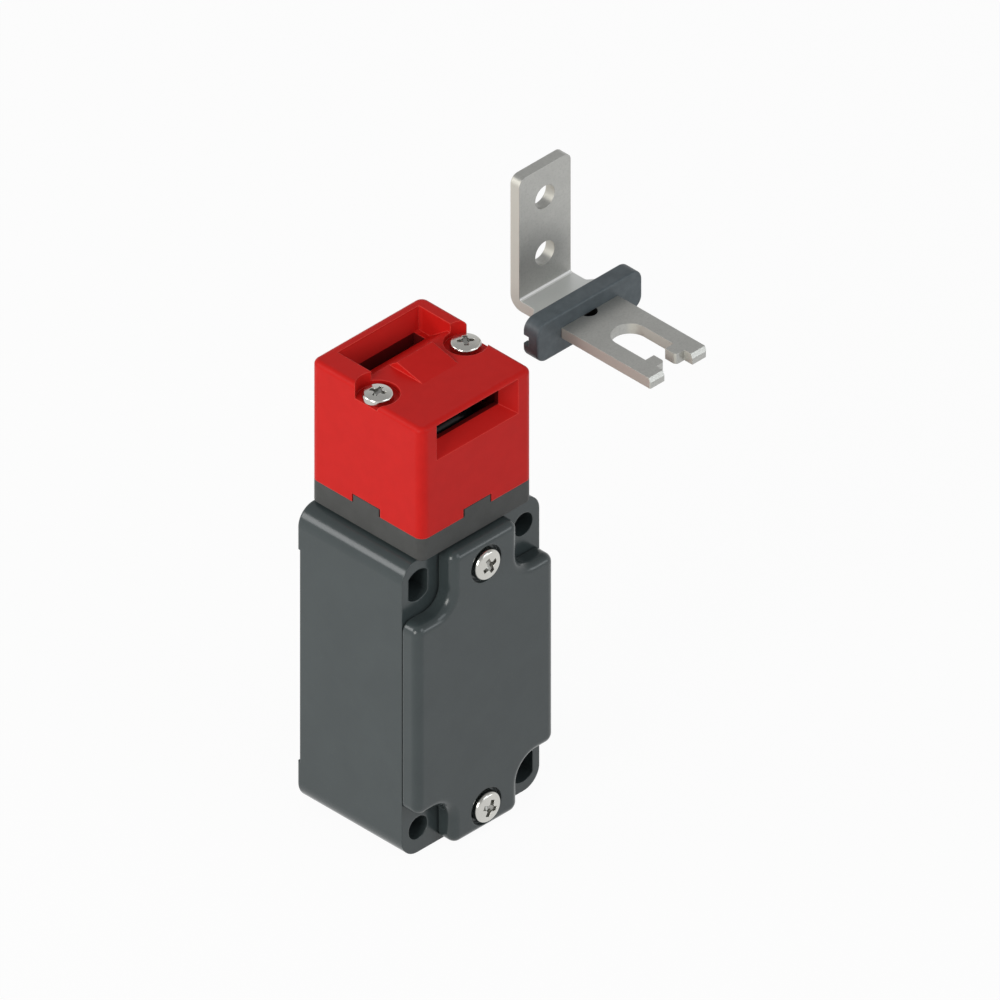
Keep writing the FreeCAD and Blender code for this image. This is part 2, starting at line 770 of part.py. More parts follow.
def make_guide():
    top = guide_top_z
    bush = fuse([rod_z(guide_radius, guide_low_z, top),
                 rod_z(guide_flange_radius, top - guide_flange_thickness, top)])
    bush = bush.cut(rod_z(plunger_radius + slide_fit, guide_low_z - 1, top + 1))
    return bush.cut(rod_z(seal_outer_radius, top - seal_thickness, top + 1))


def make_seal():
    low = guide_top_z - seal_thickness
    ring = rod_z(seal_outer_radius, low, guide_top_z)
    ring = ring.cut(rod_z(plunger_radius + slide_fit, low - 1, guide_top_z + 1))
    deep = seal_thickness * seal_cone_share
    cone = Part.makeCone(plunger_radius + slide_fit, seal_outer_radius - seal_lip, deep,
                         Vector(0, 0, guide_top_z - deep))
    return ring.cut(cone)


def make_guide_nut():
    across = nut_across_flats / math.sqrt(3.0)
    corners = [(across * math.cos(math.pi / 3 * i), across * math.sin(math.pi / 3 * i), 0)
               for i in range(6)]
    high = roof_z
    nut = prism(corners, along_z(high - nut_thickness), Vector(0, 0, nut_thickness))
    return nut.cut(rod_z(guide_radius + screw_fit, high - nut_thickness - 1, high + 1))


def make_block():
    # The whole contact block; the two halves part it along the middle plane.
    whole = box(-block_half_width, block_half_width, block_front_y, cavity_back_y,
                block_low_z, block_high_z)
    whole = whole.cut(box(-block_channel_half_x, block_channel_half_x,
                          -block_channel_half_y, block_channel_half_y,
                          block_channel_low_z, block_channel_high_z))
    whole = whole.cut(rod_z(plunger_radius + free_gap, block_channel_high_z - 1,
                            block_high_z + 1))
    closed, opened = strip_heights()
    for low, high in ((closed_bridge_z - plunger_stroke - window_play,
                       closed + strip_thickness + strip_room),
                      (opened - strip_room,
                       open_bridge_z + bridge_thickness + window_play)):
        whole = whole.cut(box(-window_half_x, window_half_x, -carriage_half_y,
                              carriage_half_y, low, high))
    for side in (-1, 1):
        whole = whole.cut(rod_y(block_screw_radius + slide_fit, block_front_y - 1,
                                cavity_back_y + 1, side * block_screw_x, block_screw_z))
        for z in strip_heights():
            whole = whole.cut(strip_body(side, z, screw_fit))
            whole = whole.cut(rod_y(terminal_screw_radius + screw_fit, block_front_y - 1,
                                    block_front_y + terminal_screw_length,
                                    side * terminal_x(), terminal_z(z)))
    return whole


def strip_heights():
    closed = closed_bridge_z + bridge_thickness + 2 * contact_height + seat_gap
    opened = (open_bridge_z - 2 * contact_height - plunger_stroke - seat_gap
              - strip_thickness)
    return closed, opened


def terminal_x():
    return (strip_inner_x + strip_outer_x) / 2.0


def terminal_z(strip_z):
    if strip_z > block_screw_z:
        return strip_z + terminal_screw_from_strip
    return strip_z + strip_thickness - terminal_screw_from_strip


def strip_body(side, z, grow):
    a = side * strip_inner_x
    b = side * strip_outer_x
    return box(min(a, b) - grow, max(a, b) + grow, block_front_y - strip_thickness,
               strip_back_y + grow, z - grow, z + strip_thickness + grow)


def make_strip(side, z):
    upward = z > block_screw_z
    a = side * strip_inner_x
    b = side * strip_outer_x
    body = strip_body(side, z, 0.0)
    if upward:
        tab = box(min(a, b), max(a, b), block_front_y - strip_thickness, block_front_y,
                  z, z + strip_tab_length)
        button = rod_z(contact_radius, z - contact_height, z, side * contact_x, 0)
    else:
        tab = box(min(a, b), max(a, b), block_front_y - strip_thickness, block_front_y,
                  z + strip_thickness - strip_tab_length, z + strip_thickness)
        button = rod_z(contact_radius, z + strip_thickness,
                       z + strip_thickness + contact_height, side * contact_x, 0)
    shape = fuse([body, tab, button])
    return shape.cut(rod_y(terminal_screw_radius + screw_fit,
                           block_front_y - strip_thickness - 1, block_front_y + 1,
                           side * terminal_x(), terminal_z(z)))


def make_clamp(side, z):
    high = block_front_y - strip_thickness
    x = side * terminal_x()
    half = clamp_size / 2.0
    plate = box(x - half, x + half, high - clamp_thickness, high,
                terminal_z(z) - half, terminal_z(z) + half)
    lip = side * half
    inner = side * (terminal_head_radius + seat_gap)
    outer = box(x + min(lip, inner), x + max(lip, inner),
                high - clamp_thickness - clamp_lip, high, terminal_z(z) - half,
                terminal_z(z) + half)
    plate = fuse([plate, outer])
    return plate.cut(rod_y(terminal_screw_radius + slide_fit, high - clamp_thickness - 1,
                           high + 1, x, terminal_z(z)))


def make_terminal_screw(side, z):
    seat = block_front_y - strip_thickness - clamp_thickness
    length = block_front_y + terminal_screw_length - free_gap - seat
    screw = pan_screw(terminal_head_radius, small_head_height,
                      terminal_screw_radius, length)
    return facing_front(screw, side * terminal_x(), seat, terminal_z(z))


def make_block_screw(side):
    length = cavity_back_y + block_screw_engagement - seat_gap - block_front_y
    screw = pan_screw(small_head_radius, small_head_height, block_screw_radius, length)
    return facing_front(screw, side * block_screw_x, block_front_y, block_screw_z)


def make_carriage():
    shape = box(-carriage_half_x, carriage_half_x, -carriage_half_y, carriage_half_y,
                carriage_low_z, carriage_high_z)
    edges = [e for e in shape.Edges if e.BoundBox.ZLength > 5]
    shape = shape.makeChamfer(carriage_edge, edges)
    low = closed_bridge_z - bridge_spring_room
    shape = shape.cut(box(-carriage_half_x - 1, carriage_half_x + 1,
                          -bridge_half_width - screw_fit, bridge_half_width + screw_fit,
                          low, closed_bridge_z + bridge_thickness))
    return shape.cut(box(-carriage_half_x - 1, carriage_half_x + 1,
                         -bridge_half_width - screw_fit, bridge_half_width + screw_fit,
                         open_bridge_z, open_bridge_z + bridge_thickness
                         + bridge_spring_room))


def make_bridge(z, face):
    bar = box(-bridge_half_length, bridge_half_length, -bridge_half_width,
              bridge_half_width, z, z + bridge_thickness)
    ends = [e for e in bar.Edges if e.BoundBox.ZLength > bridge_thickness / 2.0]
    bar = bar.makeFillet(bridge_end_radius, ends)
    low = z + bridge_thickness if face > 0 else z - contact_height
    buttons = [rod_z(contact_radius, low, low + contact_height, side * contact_x, 0)
               for side in (-1, 1)]
    return fuse([bar] + buttons)


def make_earth_screw():
    seat = earth_seat_z + earth_washer_thickness
    screw = pan_screw(small_head_radius, small_head_height, terminal_screw_radius,
                      earth_washer_thickness + earth_screw_depth - free_gap)
    screw.translate(Vector(earth_x, earth_y, seat))
    return screw


def make_earth_washer():
    ring = rod_z(earth_washer_radius, earth_seat_z, earth_seat_z + earth_washer_thickness,
                 earth_x, earth_y)
    return ring.cut(rod_z(terminal_screw_radius + slide_fit, earth_seat_z - 1,
                          earth_seat_z + 2, earth_x, earth_y))


def make_key():
    x = actuator_x
    y = cap_front_y
    low = plate_top_z - plate_thickness
    back = bend_back_from_cap
    near = shoulder_from_cap
    far = shoulder_from_cap + shoulder_length
    outer = [(tongue_half_width, -tongue_length, 0.3), (tongue_half_width, near, 0),
             (shoulder_half_width, near, 0.6), (shoulder_half_width, far, 1.0),
             (leg_half_width, gusset_start_from_cap, 1.0),
             (leg_half_width, back + 1.0, 0)]
    corners = [(x + u, y + v, r) for u, v, r in outer]
    corners += [(x - u, y + v, r) for u, v, r in reversed(outer)]
    plate = prism(corners, along_z(low), Vector(0, 0, plate_thickness))
    start = y - notch_start - notch_half_width
    gap = box(x - notch_half_width, x + notch_half_width, y - tongue_length - 1, start,
              low - 1, plate_top_z + 1)
    gap = gap.fuse(rod_z(notch_half_width, low - 1, plate_top_z + 1, x, start))
    for side in (-1, 1):
        a = x + side * (notch_half_width + 1)
        b = x + side * (notch_half_width - barb_width)
        barb = [(a, y - barb_start, 0), (b, y - barb_start, 0),
                (b, y - barb_start - barb_length, barb_nose_radius),
                (a, y - barb_start - barb_length, 0)]
        gap = gap.cut(prism(barb, along_z(low - 2), Vector(0, 0, plate_thickness + 4)))
    plate = plate.cut(gap)
    plate = plate.cut(rod_z(tongue_hole_radius, low - 1, plate_top_z + 1, x,
                            y + tongue_hole_back))
    tip_y = y - tongue_length
    wedge = prism([(tip_y - tongue_tip_length, plate_top_z + tongue_tip_drop, 0),
                   (tip_y - tongue_tip_length, plate_top_z - 2 * tongue_tip_drop, 0),
                   (tip_y + 2 * tongue_tip_length, plate_top_z + tongue_tip_drop, 0)],
                  along_x(x - tongue_half_width - 1),
                  Vector(2 * tongue_half_width + 2, 0, 0))
    plate = plate.cut(wedge)

    # The bend and the upright leg with its two fixing holes.
    inner = bend_inner_radius
    outer_radius = inner + plate_thickness
    turn_y = y + back - inner
    turn_z = plate_top_z + inner
    away = math.sqrt(0.5)
    bend = Part.Face(Part.Wire([
        Part.Arc(Vector(x - leg_half_width, turn_y, turn_z - inner),
                 Vector(x - leg_half_width, turn_y + inner * away, turn_z - inner * away),
                 Vector(x - leg_half_width, turn_y + inner, turn_z)).toShape(),
        Part.makeLine(Vector(x - leg_half_width, turn_y + inner, turn_z),
                      Vector(x - leg_half_width, turn_y + outer_radius, turn_z)),
        Part.Arc(Vector(x - leg_half_width, turn_y + outer_radius, turn_z),
                 Vector(x - leg_half_width, turn_y + outer_radius * away,
                        turn_z - outer_radius * away),
                 Vector(x - leg_half_width, turn_y, turn_z - outer_radius)).toShape(),
        Part.makeLine(Vector(x - leg_half_width, turn_y, turn_z - outer_radius),
                      Vector(x - leg_half_width, turn_y, turn_z - inner))
        ])).extrude(Vector(2 * leg_half_width, 0, 0))
    plate = plate.cut(box(x - cap_half_length, x + cap_half_length, turn_y,
                          turn_y + cap_half_length, low - 1, plate_top_z + 1))
    top = plate_top_z + leg_height
    leg = prism([(x - leg_half_width, turn_z, 0), (x + leg_half_width, turn_z, 0),
                 (x + leg_half_width, top, leg_corner_radius),
                 (x - leg_half_width, top, leg_corner_radius)],
                along_y(y + back), Vector(0, plate_thickness, 0))
    for row in range(2):
        leg = leg.cut(rod_y(leg_hole_radius, y + back - 1, y + back + plate_thickness + 1, x,
                            top - leg_hole_top_gap - row * leg_hole_pitch))
    return fuse([plate, bend, leg])


def make_cap():
    x = actuator_x
    y = cap_front_y
    middle = plate_top_z - plate_thickness / 2.0
    half = cap_height / 2.0
    shape = rounded_panel(x - cap_half_length, x + cap_half_length, middle - half,
                          middle + half, cap_end_radius, y, y + cap_depth)
    shape = shape.makeFillet(cap_edge_radius, edges_at_y(shape, y)
                             + edges_at_y(shape, y + cap_depth))
    low = plate_top_z - plate_thickness
    front = box(x - tongue_half_width - screw_fit, x + tongue_half_width + screw_fit, y - 1,
                y + shoulder_from_cap + 1, low, plate_top_z)
    rear = box(x - shoulder_half_width - screw_fit, x + shoulder_half_width + screw_fit,
               y + shoulder_from_cap, y + cap_depth + 1, low, plate_top_z)
    shape = shape.cut(front.fuse(rear))
    for side in (-1, 1):
        a = x + side * (cap_half_length + 1)
        b = x + side * (cap_half_length - cap_notch_depth)
        shape = shape.cut(box(min(a, b), max(a, b), y + cap_depth - cap_notch_length,
                              y + cap_depth + 1, middle - cap_notch_height / 2.0,
                              middle + cap_notch_height / 2.0))
    return shape


def build_all():
    parts = {}
    parts["housing"] = make_housing()
    parts["cover"] = make_cover()
    parts["cover_gasket"] = make_cover_gasket()
    parts["cover_screw_top"] = make_cover_screw(fixing_high_z)
    parts["cover_screw_bottom"] = make_cover_screw(fixing_low_z)
    parts["head_collar"] = make_collar()
    parts["head_gasket"] = make_head_gasket()
    parts["head_housing"] = make_head()
    for side, word in ((-1, "left"), (1, "right")):
        parts["head_screw_" + word] = make_head_screw(side)
        parts["cam_spacer_" + word] = make_spacer(side)
        parts["block_screw_" + word] = make_block_screw(side)
    parts["cam_wheel"] = make_cam()
    parts["cam_axle"] = make_axle()
    parts["plunger"] = make_plunger()
    parts["plunger_guide"] = make_guide()
    parts["plunger_seal"] = make_seal()
    parts["guide_nut"] = make_guide_nut()
    parts["return_spring"] = coil(return_spring_radius, return_spring_wire,
                                  block_high_z, plunger_flange_low_z, return_spring_turns)
    block = make_block()
    rear_half = box(-body_width, body_width, 0, pad_back_y, 0, body_height)
    parts["contact_block_rear"] = block.common(rear_half)
    parts["contact_block_front"] = block.cut(rear_half)
    parts["contact_carriage"] = make_carriage()
    parts["closed_bridge"] = make_bridge(closed_bridge_z, 1)
    parts["open_bridge"] = make_bridge(open_bridge_z, -1)
    parts["closed_bridge_spring"] = coil(contact_spring_radius, contact_spring_wire,
                                         closed_bridge_z - bridge_spring_room,
                                         closed_bridge_z, contact_spring_turns)
    parts["open_bridge_spring"] = coil(contact_spring_radius, contact_spring_wire,
                                       open_bridge_z + bridge_thickness,
                                       open_bridge_z + bridge_thickness
                                       + bridge_spring_room, contact_spring_turns)
    number = 0
    for z in strip_heights():
        for side in (-1, 1):
            number += 1
            tail = str(number)
            parts["fixed_contact_" + tail] = make_strip(side, z)
            parts["terminal_clamp_" + tail] = make_clamp(side, z)
            parts["terminal_screw_" + tail] = make_terminal_screw(side, z)
    parts["earth_screw"] = make_earth_screw()
    parts["earth_washer"] = make_earth_washer()
    parts["actuator_key"] = make_key()
    parts["actuator_cap"] = make_cap()
    return parts


os.makedirs("parts", exist_ok=True)
for name, shape in build_all().items():
    if not shape.isValid():
        print("not valid:", name)
    solids = len(shape.Solids)
    if solids != 1:
        print("solids:", name, solids)
    shape.exportStep("parts/" + name + ".step")
    print(name, round(shape.Volume, 1))
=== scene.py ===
import json
import math

import bpy
import numpy as np
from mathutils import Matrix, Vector


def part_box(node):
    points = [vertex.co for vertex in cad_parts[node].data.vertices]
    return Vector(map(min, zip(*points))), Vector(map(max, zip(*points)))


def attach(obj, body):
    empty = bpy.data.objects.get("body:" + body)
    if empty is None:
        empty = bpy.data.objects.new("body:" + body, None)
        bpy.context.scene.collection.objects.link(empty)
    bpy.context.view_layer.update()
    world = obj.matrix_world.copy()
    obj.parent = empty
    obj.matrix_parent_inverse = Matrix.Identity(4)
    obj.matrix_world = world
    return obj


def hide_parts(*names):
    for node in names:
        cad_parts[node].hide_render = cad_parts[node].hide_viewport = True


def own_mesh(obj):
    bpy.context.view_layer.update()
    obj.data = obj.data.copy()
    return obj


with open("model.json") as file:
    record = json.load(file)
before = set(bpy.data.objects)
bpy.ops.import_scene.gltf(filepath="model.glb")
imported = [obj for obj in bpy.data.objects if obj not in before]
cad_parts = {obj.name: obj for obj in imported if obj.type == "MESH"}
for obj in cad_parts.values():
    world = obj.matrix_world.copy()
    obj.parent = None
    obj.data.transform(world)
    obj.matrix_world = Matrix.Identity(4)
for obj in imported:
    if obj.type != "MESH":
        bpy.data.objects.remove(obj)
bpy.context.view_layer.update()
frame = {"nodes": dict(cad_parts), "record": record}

scene = bpy.context.scene
nodes = frame["nodes"]
mm = 0.001
print("stage: packed model loaded,", len(nodes), "nodes")


cameraValues = {
    "azimuth": -45.0,          # degrees, 0 looks along +Y
    "elevation": 35.264,       # the view is nearly isometric
    "frameWidth": 202.1,       # mm across the picture
    "centre": (11.184, -11.184, 72.56),
    "distance": 900.0,
    "clip": (0.01, 6.0),       # metres
}


def makeCamera(values):
    turn = math.radians(values["azimuth"])
    lift = math.radians(values["elevation"])
    back = Vector((math.sin(turn) * math.cos(lift), -math.cos(turn) * math.cos(lift),
                   math.sin(lift)))
    data = bpy.data.cameras.new("productCamera")
    data.type = "ORTHO"
    data.ortho_scale = values["frameWidth"] * mm
    data.clip_start, data.clip_end = values["clip"]
    camera = bpy.data.objects.new("productCamera", data)
    scene.collection.objects.link(camera)
    camera.location = Vector(values["centre"]) * mm + back * values["distance"] * mm
    camera.rotation_mode = "QUATERNION"
    camera.rotation_quaternion = (-back).to_track_quat("-Z", "Y")
    scene.camera = camera


makeCamera(cameraValues)
print("stage: camera")


studioValues = {
    "worldStrength": 0.36,
    "worldColour": (1.0, 1.0, 1.0),
    "horizonGloss": 1.0,       # what polished metal sees level with the floor
    "ceilingGloss": 0.50,      # and what it sees overhead, the studio's dimmer ceiling
    "fadeHeights": (0.05, 0.75),   # heights of a ray's direction where that fade starts and ends
    "floorColour": (0.72, 0.72, 0.72),
    "floorSize": 6.0,          # metres
    "floorDrop": 0.4,          # mm under the switch
    "shadowShare": 0.05,       # how much of the floor's own shading the camera sees
    "aim": (0.01, -0.005, 0.06),
    "lamps": {
        # name: (x, y, z in metres, size in metres, light on a surface that faces it, colour)
        "leftPanel": ((-0.85, -0.12, 0.42), 0.42, 0.48, (1.0, 0.985, 0.95)),
        "frontPanel": ((0.18, -0.78, 0.60), 0.50, 0.18, (0.92, 0.97, 1.0)),
        "lowPanel": ((0.60, -0.85, 0.11), 0.40, 0.12, (0.92, 0.97, 1.0)),
        "rearPanel": ((-0.65, 0.56, 0.46), 0.34, 0.20, (1.0, 1.0, 1.0)),
    },
}


def makeWorld(values):
    world = bpy.data.worlds.new("studioWorld")
    scene.world = world
    world.use_nodes = True
    tree = world.node_tree
    tree.nodes.clear()
    out = tree.nodes.new("ShaderNodeOutputWorld")
    rays = tree.nodes.new("ShaderNodeLightPath")
    plain = tree.nodes.new("ShaderNodeBackground")
    plain.inputs["Color"].default_value = (*values["worldColour"], 1)
    plain.inputs["Strength"].default_value = values["worldStrength"]
    seen = tree.nodes.new("ShaderNodeBackground")
    seen.inputs["Color"].default_value = (1, 1, 1, 1)
    seen.inputs["Strength"].default_value = 1.0
    # the white sweep behind the switch, fading to the ceiling, for polished metal
    direction = tree.nodes.new("ShaderNodeTexCoord")
    height = tree.nodes.new("ShaderNodeSeparateXYZ")
    fade = tree.nodes.new("ShaderNodeMapRange")
    fade.inputs["From Min"].default_value = values["fadeHeights"][0]
    fade.inputs["From Max"].default_value = values["fadeHeights"][1]
    fade.inputs["To Min"].default_value = values["horizonGloss"]
    fade.inputs["To Max"].default_value = values["ceilingGloss"]
    sweep = tree.nodes.new("ShaderNodeBackground")
    sweep.inputs["Color"].default_value = (1, 1, 1, 1)
    tree.links.new(direction.outputs["Generated"], height.inputs["Vector"])
    tree.links.new(height.outputs["Z"], fade.inputs["Value"])
    tree.links.new(fade.outputs["Result"], sweep.inputs["Strength"])
    mirror = tree.nodes.new("ShaderNodeMath")
    mirror.operation = "MAXIMUM"
    tree.links.new(rays.outputs["Is Glossy Ray"], mirror.inputs[0])
    tree.links.new(rays.outputs["Is Transmission Ray"], mirror.inputs[1])
    soft = tree.nodes.new("ShaderNodeMixShader")
    tree.links.new(mirror.outputs[0], soft.inputs["Fac"])
    tree.links.new(plain.outputs["Background"], soft.inputs[1])
    tree.links.new(sweep.outputs["Background"], soft.inputs[2])
    mix = tree.nodes.new("ShaderNodeMixShader")
    tree.links.new(rays.outputs["Is Camera Ray"], mix.inputs["Fac"])
    tree.links.new(soft.outputs["Shader"], mix.inputs[1])
    tree.links.new(seen.outputs["Background"], mix.inputs[2])
    tree.links.new(mix.outputs["Shader"], out.inputs["Surface"])


def makeFloor(values):
    half = values["floorSize"] / 2
    height = -values["floorDrop"] * mm
    mesh = bpy.data.meshes.new("studioFloor")
    mesh.from_pydata([(-half, -half, height), (half, -half, height),
                      (half, half, height), (-half, half, height)], [], [(0, 1, 2, 3)])
    floor = bpy.data.objects.new("studioFloor", mesh)
    scene.collection.objects.link(floor)
    material = bpy.data.materials.new("paleFloor")
    material.use_nodes = True
    tree = material.node_tree
    tree.nodes.clear()
    out = tree.nodes.new("ShaderNodeOutputMaterial")
    rays = tree.nodes.new("ShaderNodeLightPath")
    matt = tree.nodes.new("ShaderNodeBsdfDiffuse")
    matt.inputs["Color"].default_value = (*values["floorColour"], 1)
    glow = tree.nodes.new("ShaderNodeEmission")
    glow.inputs["Color"].default_value = (1, 1, 1, 1)
    glow.inputs["Strength"].default_value = 1.0
    direct = tree.nodes.new("ShaderNodeMath")
    direct.operation = "MAXIMUM"
    clear = tree.nodes.new("ShaderNodeMath")
    clear.operation = "MAXIMUM"
    share = tree.nodes.new("ShaderNodeMath")
    share.operation = "MULTIPLY"
    share.inputs[1].default_value = 1.0 - values["shadowShare"]
    mix = tree.nodes.new("ShaderNodeMixShader")
    tree.links.new(rays.outputs["Is Camera Ray"], direct.inputs[0])
    tree.links.new(rays.outputs["Is Glossy Ray"], direct.inputs[1])
    tree.links.new(direct.outputs[0], clear.inputs[0])
    tree.links.new(rays.outputs["Is Transmission Ray"], clear.inputs[1])
    tree.links.new(clear.outputs[0], share.inputs[0])
    tree.links.new(share.outputs[0], mix.inputs["Fac"])
    tree.links.new(matt.outputs["BSDF"], mix.inputs[1])
    tree.links.new(glow.outputs["Emission"], mix.inputs[2])
    tree.links.new(mix.outputs["Shader"], out.inputs["Surface"])
    mesh.materials.append(material)


def hangLamps(values):
    # a lamp's power grows with its distance squared, so that its share of light stays
    aim = Vector(values["aim"])
    for name, (place, size, share, colour) in values["lamps"].items():
        way = aim - Vector(place)
        data = bpy.data.lights.new(name, "AREA")
        data.shape = "SQUARE"
        data.size = size
        data.energy = share * math.pi ** 2 * way.length_squared
        data.color = colour
        lamp = bpy.data.objects.new(name, data)
        scene.collection.objects.link(lamp)
        lamp.location = place
        lamp.rotation_mode = "QUATERNION"
        lamp.rotation_quaternion = way.to_track_quat("-Z", "Y")


makeWorld(studioValues)
makeFloor(studioValues)
hangLamps(studioValues)
scene.view_settings.view_transform = "Standard"
print("stage: studio")


# what all finishes share: a range is the part of a noise's values that goes from one colour or
# roughness to the other, and the cosines say where an edge's painted highlight starts and where
# it is full
sharedValues = {
    "noiseRoughness": 0.55,
    "blotchRange": (0.35, 0.65),
    "grainRange": (0.3, 0.7),
    "bevelSamples": 6,
    "edgeHighlightCosines": (0.995, 0.80),
}


class FinishTree:
    # one finish's node tree, with short calls for the nodes that the finishes share
    def __init__(self, name):
        self.material = bpy.data.materials.new(name)
        self.material.use_nodes = True
        self.tree = self.material.node_tree
        self.tree.nodes.clear()
        self.out = self.add("ShaderNodeOutputMaterial")
        self.shader = self.add("ShaderNodeBsdfPrincipled")
        self.link(self.shader.outputs["BSDF"], self.out.inputs["Surface"])
        self.place = self.add("ShaderNodeTexCoord").outputs["Object"]

    def add(self, kind, **settings):
        node = self.tree.nodes.new(kind)
        for key, value in settings.items():
            setattr(node, key, value)
        return node

    def link(self, a, b):
        self.tree.links.new(a, b)

    def feed(self, socket, value):
        # value is another node's output or a plain number
        if hasattr(value, "is_output"):
            self.link(value, socket)
        else:
            socket.default_value = value

    def stretched(self, scale):
        # object coordinates in which one unit is scale metres long each way
        node = self.add("ShaderNodeMapping", vector_type="TEXTURE")
        node.inputs["Scale"].default_value = scale
        self.link(self.place, node.inputs["Vector"])
        return node.outputs["Vector"]

    def noise(self, size, detail=3.0, vector=None):
        # size is the width of one blotch, in mm or in units of the given vector
        unit = mm if vector is None else 1.0
        node = self.add("ShaderNodeTexNoise")
        node.inputs["Scale"].default_value = 1.0 / (size * unit)
        node.inputs["Detail"].default_value = detail
        node.inputs["Roughness"].default_value = sharedValues["noiseRoughness"]
        self.link(self.place if vector is None else vector, node.inputs["Vector"])
        return node.outputs["Fac"]

    def math(self, operation, a, b=0.0):
        node = self.add("ShaderNodeMath", operation=operation)
        self.feed(node.inputs[0], a)
        self.feed(node.inputs[1], b)
        return node.outputs[0]

    def spread(self, value, low, high, outLow=0.0, outHigh=1.0):
        # carries low..high over to outLow..outHigh and stops at both ends
        node = self.add("ShaderNodeMapRange", clamp=True)
        self.feed(node.inputs["Value"], value)
        node.inputs["From Min"].default_value = low
        node.inputs["From Max"].default_value = high
        node.inputs["To Min"].default_value = outLow
        node.inputs["To Max"].default_value = outHigh
        return node.outputs["Result"]

    def mixed(self, share, first, second):
        # plain numbers or number sockets, from first at 0 to second at 1
        node = self.add("ShaderNodeMix", data_type="FLOAT")
        self.feed(node.inputs[0], share)
        self.feed(node.inputs[2], first)
        self.feed(node.inputs[3], second)
        return node.outputs[0]

    def blend(self, share, first, second):
        # the same for colours
        node = self.add("ShaderNodeMix", data_type="RGBA")
        self.feed(node.inputs[0], share)
        self.feed(node.inputs[6], first if hasattr(first, "is_output") else (*first, 1))
        self.feed(node.inputs[7], second if hasattr(second, "is_output") else (*second, 1))
        return node.outputs[2]

    def edges(self, radius):
        # rounded normals, and a mask that rises to 1 where they leave the face's own normal, for
        # the painted edge highlights
        node = self.add("ShaderNodeBevel", samples=sharedValues["bevelSamples"])
        node.inputs["Radius"].default_value = radius * mm
        flat = self.add("ShaderNodeNewGeometry").outputs["Normal"]
        dot = self.add("ShaderNodeVectorMath", operation="DOT_PRODUCT")
        self.link(node.outputs["Normal"], dot.inputs[0])
        self.link(flat, dot.inputs[1])
        mask = self.spread(dot.outputs["Value"], *sharedValues["edgeHighlightCosines"])
        return node.outputs["Normal"], mask

    def bump(self, height, depth, normal=None):
        node = self.add("ShaderNodeBump")
        node.inputs["Distance"].default_value = depth * mm
        node.inputs["Strength"].default_value = 1.0
        self.link(height, node.inputs["Height"])
        if normal is not None:
            self.link(normal, node.inputs["Normal"])
        return node.outputs["Normal"]

    def finish(self, colour, roughness, metallic=0.0, normal=None, **sockets):
        self.feed(self.shader.inputs["Base Color"],
                  colour if hasattr(colour, "is_output") else (*colour, 1))
        self.feed(self.shader.inputs["Roughness"], roughness)
        self.shader.inputs["Metallic"].default_value = metallic
        if normal is not None:
            self.link(normal, self.shader.inputs["Normal"])
        for key, value in sockets.items():
            self.shader.inputs[key].default_value = value
        return self.material


def dress(name, material):
    mesh = nodes[name].data
    mesh.materials.clear()
    mesh.materials.append(material)


paintValues = {
    "colour": (0.045, 0.058, 0.060),
    "deepColour": (0.041, 0.053, 0.055),
    # the pale colour is used for the specks and for the painted highlight along the edges
    "speckAndHighlightColour": (0.100, 0.118, 0.120),
    "edgeHighlightShare": 0.62,
    "roughness": (0.15, 0.23),
    "gloss": 0.42,
    "blotchSize": 9.0,                       # sizes and depths in mm
    "peelSize": 1.1, "peelDepth": 0.004,
    "grainSize": 0.20, "grainDepth": 0.0012,
    "speckSize": 0.55, "speckRange": (0.68, 0.80), "speckShare": 0.10,
    "edgeRadius": 0.35,
}


def makePaint(values):
    tree = FinishTree("bodyPaint")
    rounded, edge = tree.edges(values["edgeRadius"])
    blotch = tree.noise(values["blotchSize"], 3.0)
    peel = tree.noise(values["peelSize"], 2.0)
    grain = tree.noise(values["grainSize"], 3.0)
    speck = tree.noise(values["speckSize"], 1.0)
    colour = tree.blend(tree.spread(blotch, *sharedValues["blotchRange"]),
                        values["deepColour"], values["colour"])
    colour = tree.blend(tree.spread(speck, *values["speckRange"], 0.0, values["speckShare"]),
                        colour, values["speckAndHighlightColour"])
    # painted highlight: the edges are lightened toward the pale colour
    colour = tree.blend(tree.math("MULTIPLY", edge, values["edgeHighlightShare"]), colour,
                        values["speckAndHighlightColour"])
    rough = tree.spread(grain, *sharedValues["grainRange"], *values["roughness"])
    normal = tree.bump(peel, values["peelDepth"], rounded)
    normal = tree.bump(grain, values["grainDepth"], normal)
    return tree.finish(colour, rough, normal=normal,
                       **{"Specular IOR Level": values["gloss"]})
